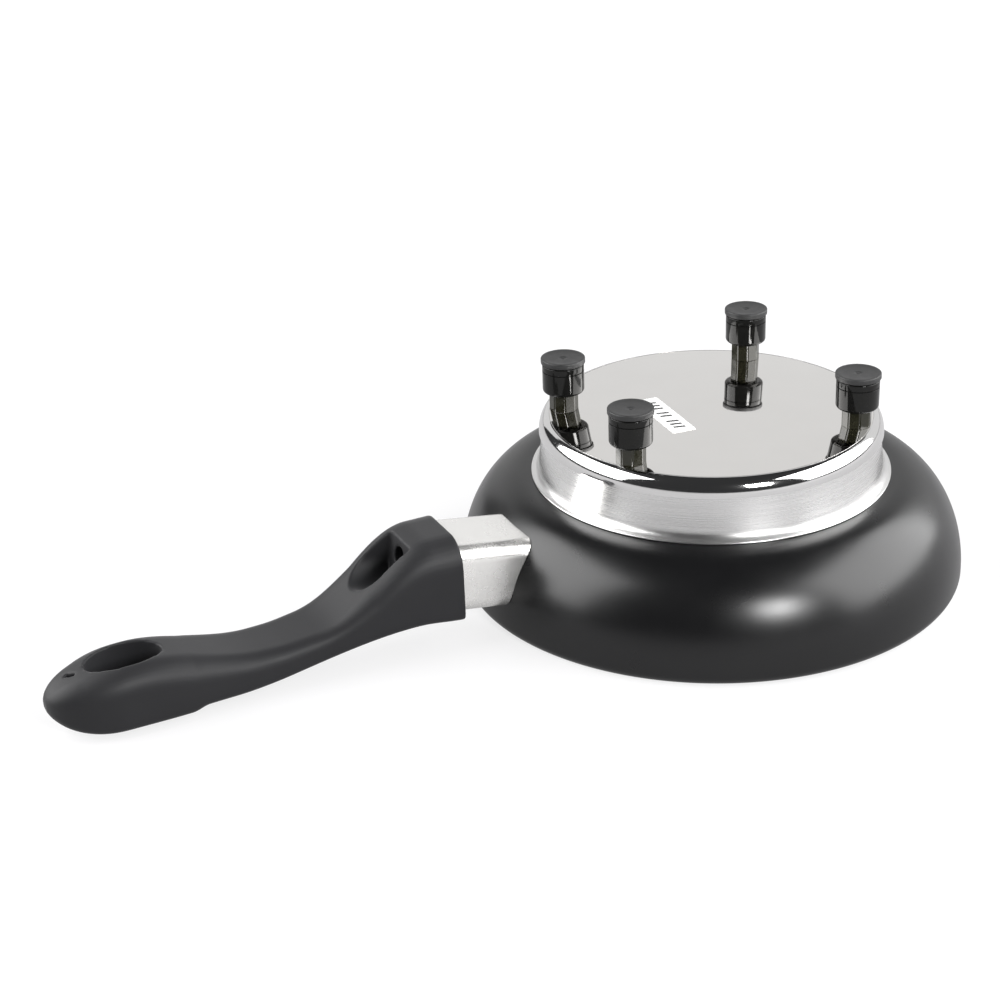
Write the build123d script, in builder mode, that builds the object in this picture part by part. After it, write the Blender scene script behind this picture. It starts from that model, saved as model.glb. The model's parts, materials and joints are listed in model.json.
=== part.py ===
from build123d import *
import math
import os

os.makedirs("parts", exist_ok=True)

# An electric frying pan lying upside down on its rim.
# The pan axis is Z, the rim lies in the plane z = 0 and the feet point up.
# The handle runs along -X and the power inlet faces +X. All sizes are in mm.

# driving sizes
bowl_r = 104.2
pan_h = 45.0
wall = 2.6
base_t = 3.0

# bowl curve, a quarter ellipse between the widest circle and the flat base
flat_r = 76.1
curve_z = 4.9
curve_w = bowl_r - flat_r
curve_h = pan_h - curve_z

# rim, curled in below the widest circle to the ring that the pan lies on
curl_r = 4.3
seat_r = bowl_r - curl_r
seat_w = 1.2

# base ring
skin = 0.8
lip_r = 73.0
lip_h = 3.6
ring_high_r = 68.7
nose_r = 5.2
ring_top = 71.7
nose_c = ring_high_r - nose_r
nose_z = ring_top - nose_r
ledge_in_r = 57.0

# bottom plate
plate_t = 0.8
plate_r = nose_c - 0.1
plate_low = ring_top - plate_t
ledge_low = plate_low - skin

# feet
foot_circle = 60.0
foot_angles = [44, 149, 209, 314]
stem_flats = 11.2
stem_h = 6.0
foot_r = 8.6
foot_body_h = 12.2
cap_r = 9.1
cap_t = 2.3
cap_gap = 0.4
stem_top = ring_top + stem_h
foot_top = stem_top + foot_body_h
cap_low = foot_top + cap_gap
cap_top = cap_low + cap_t
bore_r = 6.2
bore_floor = stem_top + 2.8
foot_hole_r = 2.2

# screws, studs and posts
screw_r = 2.0
thread_r = 2.05
head_r = 3.8
head_h = 2.6
post_r = 4.0
stud_r = 2.5

# handle line, rising gently away from the pan
tilt = 8.6
slope = math.tan(math.radians(tilt))
sleeve_w = 35.0
sleeve_h = 28.1
sleeve_t = 1.0
sleeve_corner = 3.5
sleeve_end = 125.4
sleeve_mid_z = 29.4
mid_at = 119.5
screw_lift = 5.5
screw_seat = 129.0

# grip
grip_start = 120.5
grip_end = 284.3
grip_tip = 284.7
crest_z = 47.4
front_low = 13.3
front_w = 38.0
socket_floor = 126.0
pocket_face = 140.0
pocket_w = 18.0
pocket_floor = 11.5
hang_at = 253.4
hang_long = 29.6
hang_wide = 17.8


def fade(value, low, high):
    t = min(max((value - low) / (high - low), 0.0), 1.0)
    return t * t * (3.0 - 2.0 * t)


def bowl_point(angle, inset_side, inset_base):
    # a point on the bowl's curve, 0 at the side and 90 at the flat base
    t = math.radians(angle)
    r = flat_r + (curve_w - inset_side) * math.cos(t)
    z = curve_z + (curve_h - inset_base) * math.sin(t)
    return (r, z)


def bowl_points(inset_side, inset_base):
    return [bowl_point(a, inset_side, inset_base) for a in range(0, 91, 9)]


def filled_bowl(grow):
    # half section of the bowl filled solid, grown by a small clearance
    points = bowl_points(-grow, -grow)
    with BuildSketch(Plane.XZ) as section:
        with BuildLine():
            Spline(*points, tangents=[(0, 1), (-1, 0)])
            Polyline(points[-1], (0, pan_h + grow), (0, -1), (bowl_r + grow, -1), points[0])
        make_face()
    return section.sketch


def wall_point(height):
    # radius and outward lean of the bowl's outer side at a height
    up = (height - curve_z) / curve_h
    across = math.sqrt(1.0 - up * up)
    lean_r = across / curve_w
    lean_z = up / curve_h
    return flat_r + curve_w * across, math.degrees(math.atan2(lean_z, lean_r))


def handle_plane(distance, lift=0.0):
    # a plane square to the handle line, its normal away from the pan
    z = sleeve_mid_z + (distance - mid_at) * slope + lift
    t = math.radians(tilt)
    return Plane(origin=(-distance, 0, z), x_dir=(0, 1, 0), z_dir=(-math.cos(t), 0, math.sin(t)))


def on_circle(angle, radius):
    return (radius * math.cos(math.radians(angle)), radius * math.sin(math.radians(angle)))


# pan body, a rounded bowl with its mouth down
rivet_z = 27.0
rivet_angles = [174.5, 185.5]
rivet_r = 2.4
side_r, side_lean = wall_point(rivet_z)


def rivet_plane(angle, depth):
    # a plane on the pan wall, its normal pointing out of the wall
    a = math.radians(angle)
    e = math.radians(side_lean)
    out = (math.cos(a) * math.cos(e), math.sin(a) * math.cos(e), math.sin(e))
    x, y = on_circle(angle, side_r)
    spot = (x + out[0] * depth, y + out[1] * depth, rivet_z + out[2] * depth)
    return Plane(origin=spot, x_dir=(-math.sin(a), math.cos(a), 0), z_dir=out)


with BuildPart() as pan_body:
    outer = bowl_points(0, 0)
    inner = bowl_points(wall, base_t)
    with BuildSketch(Plane.XZ):
        with BuildLine():
            RadiusArc((seat_r, 0), (bowl_r, curl_r), -curl_r)
            Line((bowl_r, curl_r), outer[0])
            Spline(*outer, tangents=[(0, 1), (-1, 0)])
            Polyline(outer[-1], (0, pan_h), (0, pan_h - base_t), inner[-1])
            Spline(*inner, tangents=[(0, 1), (-1, 0)])
            Line(inner[0], (bowl_r - wall, curl_r))
            RadiusArc((bowl_r - wall, curl_r), (seat_r, wall), curl_r - wall)
            Polyline((seat_r, wall), (seat_r - seat_w, wall), (seat_r - seat_w, 0), (seat_r, 0))
        make_face()
    revolve(axis=Axis.Z)
    for angle in rivet_angles:
        with BuildSketch(rivet_plane(angle, -8)):
            Circle(rivet_r + 0.05)
        extrude(amount=16, mode=Mode.SUBTRACT)
pan_body.part.label = "pan_body"
export_step(pan_body.part, "parts/pan_body.step")

# base ring, a spun skin with a flared lip below and a rolled nose above
inlet_z = 58.4
inlet_w = 24.0
inlet_h = 12.0
with BuildPart() as base_ring:
    lip_z = pan_h + 0.05
    flare = lip_h - skin
    with BuildSketch(Plane.XZ):
        with BuildLine():
            Line((lip_r, lip_z), (lip_r, lip_z + skin))
            RadiusArc((lip_r, lip_z + skin), (lip_r - flare, lip_z + lip_h), flare)
            Line((lip_r - flare, lip_z + lip_h), (ring_high_r, nose_z))
            RadiusArc((ring_high_r, nose_z), (nose_c, ring_top), -nose_r)
            Polyline((nose_c, ring_top), (nose_c, plate_low), (ledge_in_r, plate_low),
                     (ledge_in_r, ledge_low), (nose_c + 2.0, ledge_low))
            Line((nose_c + 2.0, ledge_low), (ring_high_r - skin, nose_z))
            Line((ring_high_r - skin, nose_z), (lip_r - flare - skin, lip_z + lip_h))
            RadiusArc((lip_r - flare - skin, lip_z + lip_h), (lip_r, lip_z), -lip_h)
        make_face()
    revolve(axis=Axis.Z)
    for angle in foot_angles:
        with BuildSketch(Plane.XY.offset(ledge_low - 1)):
            with Locations(on_circle(angle, foot_circle)):
                Circle(foot_hole_r)
        extrude(amount=3, mode=Mode.SUBTRACT)
    with BuildSketch(Plane.YZ.offset(62)):
        with Locations((0, inlet_z)):
            RectangleRounded(inlet_w, inlet_h, 2)
    extrude(amount=12, mode=Mode.SUBTRACT)
base_ring.part.label = "base_ring"
export_step(base_ring.part, "parts/base_ring.step")

# bottom plate, set flush in the ring
with BuildPart() as bottom_plate:
    with BuildSketch(Plane.XY.offset(plate_low)):
        Circle(plate_r)
        for angle in foot_angles:
            with Locations(on_circle(angle, foot_circle)):
                Circle(foot_hole_r, mode=Mode.SUBTRACT)
    extrude(amount=plate_t)
bottom_plate.part.label = "bottom_plate"
export_step(bottom_plate.part, "parts/bottom_plate.step")

# blank sticker on the bottom plate
sticker_l = 36.0
sticker_w = 9.6
with BuildPart() as sticker:
    with BuildSketch(Plane.XY.offset(ring_top)):
        with Locations(Location((-20.7, 1.1, 0), (0, 0, -94.8))):
            RectangleRounded(sticker_l, sticker_w, 0.6)
    extrude(amount=0.2)
sticker.part.label = "sticker"
export_step(sticker.part, "parts/sticker.step")

# feet, each an octagonal stem under a round body with a bored top
for number, angle in enumerate(foot_angles, start=1):
    spot = on_circle(angle, foot_circle)
    with BuildPart() as foot_body:
        with BuildSketch(Plane.XY.offset(ring_top)):
            with Locations(spot):
                RegularPolygon(stem_flats / 2, 8, major_radius=False)
        extrude(amount=stem_h)
        with Locations((spot[0], spot[1], stem_top)):
            Cylinder(foot_r, foot_body_h, align=(Align.CENTER, Align.CENTER, Align.MIN))
        rims = foot_body.edges().filter_by(GeomType.CIRCLE).group_by(Axis.Z)
        fillet(rims[0], 1.5)
        fillet(foot_body.edges().filter_by(GeomType.CIRCLE).group_by(Axis.Z)[-1], 0.4)
        with Locations((spot[0], spot[1], bore_floor)):
            Cylinder(bore_r, 20, align=(Align.CENTER, Align.CENTER, Align.MIN), mode=Mode.SUBTRACT)
        with Locations((spot[0], spot[1], ring_top - 1)):
            Cylinder(foot_hole_r, 20, align=(Align.CENTER, Align.CENTER, Align.MIN),
                     mode=Mode.SUBTRACT)
    foot_body.part.label = "foot_body_" + str(number)
    export_step(foot_body.part, "parts/foot_body_" + str(number) + ".step")

    with BuildPart() as foot_cap:
        with BuildSketch(Plane(origin=(spot[0], spot[1], 0), x_dir=(1, 0, 0), z_dir=(0, -1, 0))):
            with BuildLine():
                Polyline((0, cap_low), (4.4, cap_low), (4.4, cap_low - 6), (6.0, cap_low - 6))
                Polyline((6.0, cap_low - 6), (6.0, cap_low), (cap_r - 0.3, cap_low),
                         (cap_r, cap_low + 0.3), (cap_r, cap_top - 0.4))
                RadiusArc((cap_r, cap_top - 0.4), (cap_r - 0.4, cap_top), -0.4)
                Line((cap_r - 0.4, cap_top), (cap_r - 1.4, cap_top))
                Spline((cap_r - 1.4, cap_top), (4.0, cap_top - 0.35), (1.1, cap_top - 0.5))
                Polyline((1.1, cap_top - 0.5), (0.8, cap_top - 0.8), (0, cap_top - 0.8), (0, cap_low))
            make_face()
        revolve(axis=Axis((spot[0], spot[1], 0), (0, 0, 1)))
    foot_cap.part.label = "foot_cap_" + str(number)
    export_step(foot_cap.part, "parts/foot_cap_" + str(number) + ".step")

# foot screws, one group of four
with BuildPart() as foot_screws:
    for angle in foot_angles:
        x, y = on_circle(angle, foot_circle)
        with Locations((x, y, plate_low - 12)):
            Cylinder(screw_r, bore_floor - plate_low + 12,
                     align=(Align.CENTER, Align.CENTER, Align.MIN))
        with Locations((x, y, bore_floor)):
            Cylinder(head_r, head_h, align=(Align.CENTER, Align.CENTER, Align.MIN))
        with Locations((x, y, bore_floor + head_h - 1.2)):
            Box(5.0, 0.9, 2, align=(Align.CENTER, Align.CENTER, Align.MIN), mode=Mode.SUBTRACT)
            Box(0.9, 5.0, 2, align=(Align.CENTER, Align.CENTER, Align.MIN), mode=Mode.SUBTRACT)
foot_screws.part.label = "foot_screws"
export_step(foot_screws.part, "parts/foot_screws.step")

# threaded posts between the pan base and the ring's ledge
with BuildPart() as base_posts:
    for angle in foot_angles:
        x, y = on_circle(angle, foot_circle)
        with BuildSketch(Plane.XY.offset(pan_h)):
            with Locations((x, y)):
                RegularPolygon(post_r, 6)
        extrude(amount=ledge_low - pan_h)
        with Locations((x, y, ledge_low - 16)):
            Cylinder(thread_r, 20, align=(Align.CENTER, Align.CENTER, Align.MIN),
                     mode=Mode.SUBTRACT)
base_posts.part.label = "base_posts"
export_step(base_posts.part, "parts/base_posts.step")

# heating stack on the pan's underside, a pile of flat discs round the centre stud
stack_r = 54.0
sheet_t = 0.5
heater_t = 1.2
pad_t = 5.0
clamp_t = 1.2
mica_low = pan_h
heater_low = mica_low + sheet_t
mica_high = heater_low + heater_t
pad_low = mica_high + sheet_t
clamp_low = pad_low + pad_t
clamp_top = clamp_low + clamp_t
element_spot = (34.0, 14.0)


def washer_face(radius, hole, low):
    with BuildSketch(Plane.XY.offset(low)) as face:
        Circle(radius)
        Circle(hole, mode=Mode.SUBTRACT)
    return face.sketch


with BuildPart() as inner_mica:
    extrude(washer_face(stack_r, stud_r + 0.3, mica_low), amount=sheet_t)
inner_mica.part.label = "inner_mica"
export_step(inner_mica.part, "parts/inner_mica.step")

with BuildPart() as heating_element:
    extrude(washer_face(stack_r - 2, 8.0, heater_low), amount=heater_t)
    for side in (-1, 1):
        with Locations((element_spot[0], side * element_spot[1], heater_low + heater_t / 2)):
            Box(8, 5, heater_t)
heating_element.part.label = "heating_element"
export_step(heating_element.part, "parts/heating_element.step")

with BuildPart() as outer_mica:
    extrude(washer_face(stack_r, stud_r + 0.3, mica_high), amount=sheet_t)
    for side in (-1, 1):
        with Locations((element_spot[0], side * element_spot[1], mica_high)):
            Cylinder(2.4, 3, mode=Mode.SUBTRACT)
outer_mica.part.label = "outer_mica"
export_step(outer_mica.part, "parts/outer_mica.step")

with BuildPart() as insulation_pad:
    extrude(washer_face(stack_r - 1, stud_r + 0.3, pad_low), amount=pad_t)
    for side in (-1, 1):
        with Locations((element_spot[0], side * element_spot[1], pad_low)):
            Cylinder(2.4, 3 * pad_t, mode=Mode.SUBTRACT)
insulation_pad.part.label = "insulation_pad"
export_step(insulation_pad.part, "parts/insulation_pad.step")

with BuildPart() as clamp_plate:
    extrude(washer_face(stack_r - 2, stud_r + 0.3, clamp_low), amount=clamp_t)
    with BuildSketch(Plane.XY.offset(clamp_top)):
        Circle(44)
        Circle(41.5, mode=Mode.SUBTRACT)
    extrude(amount=1.0)
    for side in (-1, 1):
        with Locations((element_spot[0], side * element_spot[1], clamp_low)):
            Cylinder(2.4, 6, mode=Mode.SUBTRACT)
clamp_plate.part.label = "clamp_plate"
export_step(clamp_plate.part, "parts/clamp_plate.step")

# centre stud with its washer and nut
stud_top = clamp_top + 7.0
with BuildPart() as centre_stud:
    with Locations((0, 0, pan_h)):
        Cylinder(stud_r, stud_top - pan_h, align=(Align.CENTER, Align.CENTER, Align.MIN))
centre_stud.part.label = "centre_stud"
export_step(centre_stud.part, "parts/centre_stud.step")

with BuildPart() as stud_washer:
    extrude(washer_face(6.0, stud_r + 0.15, clamp_top), amount=1.0)
stud_washer.part.label = "stud_washer"
export_step(stud_washer.part, "parts/stud_washer.step")

with BuildPart() as stud_nut:
    with BuildSketch(Plane.XY.offset(clamp_top + 1.0)):
        RegularPolygon(4.0, 6, major_radius=False)
        Circle(stud_r + 0.05, mode=Mode.SUBTRACT)
    extrude(amount=4.0)
stud_nut.part.label = "stud_nut"
export_step(stud_nut.part, "parts/stud_nut.step")

# thermal cutout, a round can on the clamp plate with two blade terminals
cutout_x = -24.0
cutout_y = 0.0
with BuildPart() as thermal_cutout:
    with Locations((cutout_x, cutout_y, clamp_top)):
        Cylinder(8.0, 7.0, align=(Align.CENTER, Align.CENTER, Align.MIN))
    with Locations((cutout_x, cutout_y, clamp_top + 7.0)):
        Cylinder(6.4, 2.0, align=(Align.CENTER, Align.CENTER, Align.MIN))
    for side in (-1, 1):
        with Locations((cutout_x, cutout_y + side * 8.4, clamp_top + 5.0)):
            Box(5.0, 7.0, 0.8)
thermal_cutout.part.label = "thermal_cutout"
export_step(thermal_cutout.part, "parts/thermal_cutout.step")

# power inlet in the ring's wall, a bezel outside and a box inside
inlet_out = lip_r - 0.6
inlet_in = 54.0
socket_w = 16.0
socket_h = 7.0
with BuildPart() as inlet_housing:
    with BuildSketch(Plane.YZ.offset(66)):
        with Locations((0, inlet_z)):
            RectangleRounded(inlet_w + 4.4, inlet_h + 2.4, 3)
    extrude(amount=inlet_out - 66)
    with BuildSketch(Plane.XZ):
        Polygon((60, pan_h), (lip_r - lip_h + skin + 0.15, pan_h + lip_h), (ring_high_r + 0.15, nose_z),
                (60, nose_z), align=None)
    revolve(axis=Axis.Z, mode=Mode.SUBTRACT)
    with BuildSketch(Plane.YZ.offset(inlet_in)):
        with Locations((0, inlet_z)):
            RectangleRounded(inlet_w - 0.4, inlet_h - 0.4, 1.8)
    extrude(amount=71 - inlet_in)
    with BuildSketch(Plane.YZ.offset(inlet_in + 3)):
        with Locations((0, inlet_z)):
            RectangleRounded(socket_w, socket_h, 2.5)
    extrude(amount=30, mode=Mode.SUBTRACT)
    for side in (-1, 1):
        with Locations(Location((inlet_in, side * 4.0, inlet_z), (0, 90, 0))):
            Cylinder(1.3, 12, mode=Mode.SUBTRACT)
inlet_housing.part.label = "inlet_housing"
export_step(inlet_housing.part, "parts/inlet_housing.step")

with BuildPart() as inlet_pins:
    for side in (-1, 1):
        with Locations(Location((inlet_in - 3.0, side * 4.0, inlet_z), (0, 90, 0))):
            Cylinder(1.25, 16.0, align=(Align.CENTER, Align.CENTER, Align.MIN))
inlet_pins.part.label = "inlet_pins"
export_step(inlet_pins.part, "parts/inlet_pins.step")


def lead(points, bend, thick):
    with BuildPart() as wire:
        with BuildLine() as route:
            FilletPolyline(*points, radius=bend)
        with BuildSketch(Plane(origin=route.line @ 0, z_dir=route.line % 0)):
            Circle(thick)
        sweep()
    return wire.part


# leads between the inlet, the heating element and the cutout
lead_r = 1.1
pin_end = inlet_in - 3.0
with BuildPart() as supply_lead:
    wire = lead([(pin_end, -4, inlet_z), (44, -4, inlet_z), (36, -9, inlet_z + 3),
          (element_spot[0], -element_spot[1], clamp_top + 4),
          (element_spot[0], -element_spot[1], heater_low + heater_t)], 1.8, lead_r)
    add(wire)
supply_lead.part.label = "supply_lead"
export_step(supply_lead.part, "parts/supply_lead.step")

with BuildPart() as cutout_lead:
    wire = lead([(pin_end, 4, inlet_z), (44, 4, inlet_z), (28, 9, inlet_z + 5), (10, 22, inlet_z + 5),
          (cutout_x + 8, 22, inlet_z + 1), (cutout_x, 14, clamp_top + 6.5),
          (cutout_x, 11, clamp_top + 6.5)], 1.6, lead_r)
    add(wire)
cutout_lead.part.label = "cutout_lead"
export_step(cutout_lead.part, "parts/cutout_lead.step")

with BuildPart() as element_lead:
    wire = lead([(cutout_x, -11, clamp_top + 6.5), (cutout_x, -15, clamp_top + 6.5),
          (-6, -26, clamp_top + 5), (14, -30, clamp_top + 5), (22, 8, clamp_top + 9),
          (element_spot[0], element_spot[1], clamp_top + 4),
          (element_spot[0], element_spot[1], heater_low + heater_t)], 1.6, lead_r)
    add(wire)
element_lead.part.label = "element_lead"
export_step(element_lead.part, "parts/element_lead.step")

# bracket on the pan wall, a saddle with a web and a threaded boss inside the sleeve
with BuildPart() as handle_bracket:
    revolve(filled_bowl(2.4), axis=Axis.Z)
    with Locations((-96, 0, 27.0)):
        Box(34, 25, 18, mode=Mode.INTERSECT)
    with BuildSketch(handle_plane(92)):
        with Locations((0, -1.5)):
            Rectangle(3.2, 12)
    extrude(amount=26)
    with BuildSketch(handle_plane(92, screw_lift)):
        Circle(3.5)
    extrude(amount=29.5)
    revolve(filled_bowl(0.05), axis=Axis.Z, mode=Mode.SUBTRACT)
    with BuildSketch(handle_plane(101, screw_lift)):
        Circle(thread_r)
    extrude(amount=30, mode=Mode.SUBTRACT)
    for angle in rivet_angles:
        with BuildSketch(rivet_plane(angle, -2)):
            Circle(rivet_r + 0.05)
        extrude(amount=9, mode=Mode.SUBTRACT)
handle_bracket.part.label = "handle_bracket"
export_step(handle_bracket.part, "parts/handle_bracket.step")

# rivets through the pan wall, with low heads inside the pan
with BuildPart() as bracket_rivets:
    for angle in rivet_angles:
        with BuildSketch(rivet_plane(angle, -wall - 1.6)):
            Circle(rivet_r)
        extrude(amount=wall + 5.0)
        with BuildSketch(rivet_plane(angle, -wall - 1.6)):
            Circle(4.6)
        extrude(amount=1.8)
        with BuildSketch(rivet_plane(angle, 2.2)):
            Circle(4.0)
        extrude(amount=1.4)
    add(pan_body.part, mode=Mode.SUBTRACT)
    add(handle_bracket.part, mode=Mode.SUBTRACT)
bracket_rivets.part.label = "bracket_rivets"
export_step(bracket_rivets.part, "parts/bracket_rivets.step")

# flame sleeve, a rounded box tube cut to the bowl
with BuildPart() as flame_sleeve:
    with BuildSketch(handle_plane(84)):
        RectangleRounded(sleeve_w, sleeve_h, sleeve_corner)
        RectangleRounded(sleeve_w - 2 * sleeve_t, sleeve_h - 2 * sleeve_t,
                         sleeve_corner - sleeve_t, mode=Mode.SUBTRACT)
    extrude(amount=(sleeve_end - 84) / math.cos(math.radians(tilt)))
    revolve(filled_bowl(0.15), axis=Axis.Z, mode=Mode.SUBTRACT)
flame_sleeve.part.label = "flame_sleeve"
export_step(flame_sleeve.part, "parts/flame_sleeve.step")


# grip outline along the handle, seen from the side and from above
def nose(s, start):
    # 0 up to the start of the rounded tip, growing to 1 at the tip
    t = max((s - start) / (grip_tip - start), 0.0)
    return 1.0 - math.sqrt(1.0 - t * t)


def grip_top(s):
    ramp = 27.0 * fade(s, 132, 182) + 1.8 * fade(s, 176, 196)
    return crest_z - ramp + 8.4 * fade(s, 202, 250) - 13.0 * nose(s, 250)


def grip_low(s):
    drop = 11.0 * fade(s, 138, 215) + 1.6 * fade(s, 226, 233)
    return front_low + 1.8 * fade(s, 119, 140) - drop + 11.5 * nose(s, 260)


def grip_width(s):
    wide = front_w - 9.0 * fade(s, 125, 192) + 3.0 * fade(s, 200, 245)
    return wide * (1 - nose(s, 256))


grip_stops = [grip_start, 128, 136, 144, 152, 160, 168, 177, 188, 200, 212, 222, 226, 229.5, 233, 240,
              250, 260, 268, 275, 280, 283, grip_end]
with BuildPart() as handle_grip:
    for s in grip_stops:
        tall = grip_top(s) - grip_low(s)
        middle = (grip_top(s) + grip_low(s)) / 2
        wide = grip_width(s)
        with BuildSketch(Plane(origin=(-s, 0, middle), x_dir=(0, 1, 0), z_dir=(-1, 0, 0))):
            Rectangle(wide, tall)
            fillet(vertices().group_by(Axis.Y)[0], min(9.0, 0.44 * tall, 0.44 * wide))
            fillet(vertices().group_by(Axis.Y)[-1], min(3.0, 0.3 * tall, 0.3 * wide))
    loft()
    # socket for the sleeve
    with BuildSketch(handle_plane(grip_start - 4)):
        RectangleRounded(sleeve_w + 0.3, sleeve_h + 0.3, sleeve_corner + 0.15)
    extrude(amount=(socket_floor - grip_start + 4) / math.cos(math.radians(tilt)),
            mode=Mode.SUBTRACT)
    # screw pocket, a round-bottomed trough open to the sloped top
    with BuildSketch(handle_plane(pocket_face, screw_lift)):
        with Locations((0, pocket_floor - pocket_w / 2)):
            Circle(pocket_w / 2)
        with Locations((0, pocket_floor - pocket_w / 2 - 15)):
            Rectangle(pocket_w, 30)
    extrude(amount=70, mode=Mode.SUBTRACT)
    # screw bore with a wider seat for the head
    with BuildSketch(handle_plane(grip_start, screw_lift)):
        Circle(foot_hole_r)
    extrude(amount=30, mode=Mode.SUBTRACT)
    with BuildSketch(handle_plane(screw_seat, screw_lift)):
        Circle(head_r + 0.5)
    extrude(amount=30, mode=Mode.SUBTRACT)
    # hanging hole
    with BuildSketch(Plane.XY.offset(-5)):
        with Locations((-hang_at, 0)):
            Ellipse(hang_long / 2, hang_wide / 2)
    extrude(amount=60, mode=Mode.SUBTRACT)
handle_grip.part.label = "handle_grip"
export_step(handle_grip.part, "parts/handle_grip.step")

# handle screw with its spring washer
washer_t = 0.9
screw_start = 106.0
head_at = screw_seat + washer_t
with BuildPart() as screw_washer:
    with BuildSketch(handle_plane(screw_seat, screw_lift)):
        Circle(4.0)
        Circle(thread_r + 0.1, mode=Mode.SUBTRACT)
    extrude(amount=washer_t)
screw_washer.part.label = "screw_washer"
export_step(screw_washer.part, "parts/screw_washer.step")

with BuildPart() as handle_screw:
    with BuildSketch(handle_plane(screw_start, screw_lift)):
        Circle(screw_r)
    extrude(amount=(screw_seat - screw_start) / math.cos(math.radians(tilt)) + 2.0)
    with BuildSketch(handle_plane(head_at, screw_lift)):
        Circle(head_r)
    extrude(amount=head_h)
    for turn in (0, 90):
        with BuildSketch(handle_plane(head_at + head_h - 1.2, screw_lift)):
            with Locations(Location((0, 0, 0), (0, 0, turn))):
                Rectangle(5.0, 0.9)
        extrude(amount=3, mode=Mode.SUBTRACT)
handle_screw.part.label = "handle_screw"
export_step(handle_screw.part, "parts/handle_screw.step")
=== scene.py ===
import bpy
import bmesh
import json
import math
from mathutils import Matrix, Vector


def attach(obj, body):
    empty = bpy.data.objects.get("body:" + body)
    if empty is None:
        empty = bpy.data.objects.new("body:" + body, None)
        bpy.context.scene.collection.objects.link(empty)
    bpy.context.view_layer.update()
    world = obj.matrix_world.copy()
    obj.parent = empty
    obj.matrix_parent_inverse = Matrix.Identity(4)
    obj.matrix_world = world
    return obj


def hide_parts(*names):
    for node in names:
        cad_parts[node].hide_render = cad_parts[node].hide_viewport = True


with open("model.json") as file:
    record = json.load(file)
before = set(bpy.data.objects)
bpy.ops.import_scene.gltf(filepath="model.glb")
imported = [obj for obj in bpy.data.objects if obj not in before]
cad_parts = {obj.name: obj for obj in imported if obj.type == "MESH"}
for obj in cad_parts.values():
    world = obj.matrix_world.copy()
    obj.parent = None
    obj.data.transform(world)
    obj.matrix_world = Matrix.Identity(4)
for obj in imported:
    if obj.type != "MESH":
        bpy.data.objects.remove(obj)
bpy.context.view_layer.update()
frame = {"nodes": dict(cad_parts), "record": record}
MM = 0.001

# bowl, with lengths in millimetres as for every piece below
BOWL_R = 104.2
PAN_H = 45.0
WALL = 2.6
BASE_T = 3.0
FLAT_R = 76.1
CURVE_Z = 4.9
CURVE_W = BOWL_R - FLAT_R
CURVE_H = PAN_H - CURVE_Z
CURL_R = 4.3
SEAT_R = BOWL_R - CURL_R
SEAT_W = 1.2

# base ring and plate
SKIN = 0.8
LIP_R = 74.0
LIP_H = 4.2
LIP_Z = PAN_H + 0.05
LIP_INNER_R = LIP_R - 2.0
WALL_LOW_R = LIP_R - 3.2
WALL_LOW_Z = LIP_Z + LIP_H
WALL_HOLLOW = 0.25
RING_TOP = 70.0
PLATE_R = 66.0
PLATE_T = 0.75
PLATE_EDGE = 0.25
PLATE_GAP = 0.05
LEDGE_R = 57.2
LEDGE_TOP = RING_TOP - 0.8
LEDGE_LOW = RING_TOP - 1.5
NOSE_WIDE = 4.4
NOSE_TALL = 7.2
NOSE_Z = RING_TOP - NOSE_TALL
CREASE_Z = NOSE_Z - 0.1
CREASE_R = 69.5

# sticker and its slanted bars
STICKER_SPOT = (-19.1, 4.1, 0.0)
STICKER_TURN = -94.3
STICKER_LONG = 36.6
STICKER_WIDE = 10.2
STICKER_CORNER = 0.6
STICKER_T = 0.16
BAR_GROUPS = ((-14.5, 3), (-3.0, 2), (6.0, 3))
BAR_STEP = 3.2
BAR_W = 1.3
BAR_LEAN = 0.9
BAR_HALF = 2.4

# feet
FOOT_CIRCLE = 60.0
FOOT_ANGLES = {1: 44, 2: 148, 3: 208, 4: 314}
STEM_FLATS = 11.2
STEM_TOP = 77.7
FOOT_R = 8.6
FOOT_TOP = STEM_TOP + 12.2
CAP_R = 9.1
CAP_LOW = FOOT_TOP + 0.4
CAP_TOP = CAP_LOW + 2.3
BARREL_ROUND = 1.5
BARREL_BORE_R = 6.2
BARREL_DEEP = 6.0
STEM_HOLE_R = 4.0
GROOVE_TOP = FOOT_TOP - 2.54
GROOVE_LOW = FOOT_TOP - 3.0
GROOVE_DEEP = 0.4
CAP_ROUND = 0.5

# sleeve and handle line
TILT = math.radians(8.6)
SLEEVE_W = 35.0
SLEEVE_H = 28.1
SLEEVE_CORNER = 6.2
SLEEVE_T = 1.0
SLEEVE_GAP = 0.25
SLEEVE_END = 125.4
SLEEVE_MID_Z = 29.4
MID_AT = 119.5
SCREW_LIFT = 5.5
SCREW_SEAT = 129.0
SCREW_BORE_R = 2.2
SCREW_SEAT_R = 4.3

# grip
GRIP_START = 121.8
GRIP_END = 284.3
GRIP_TIP = 284.7
CREST_Z = 47.4
FRONT_LOW = 13.3
FRONT_W = 38.0
RAMP_DROP = 27.0
NECK_DROP = 1.8
PADDLE_RISE = 8.4
TIP_DROP = 13.0
FRONT_RISE = 1.8
UNDER_DROP = 11.0
STEP_DROP = 1.6
TIP_RISE = 11.5
WAIST_LOSS = 9.0
PADDLE_GAIN = 3.0
TOP_CORNER = 11.0
TOP_CORNER_LOSS = 2.0
LOW_CORNER = 3.0
SOCKET_FLOOR = 126.0
POCKET_FACE = 141.8
POCKET_W = 18.6
POCKET_FLOOR = 11.5
HANG_AT = 253.4
HANG_LONG = 29.6
HANG_WIDE = 17.8
SLOT_AT = 270.2
SLOT_OUTER_R = 4.2
SLOT_INNER_R = 2.7
SLOT_STRETCH = 1.35
SLOT_SHIFT = 2.8
SLOT_LOW = 20.5
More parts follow.
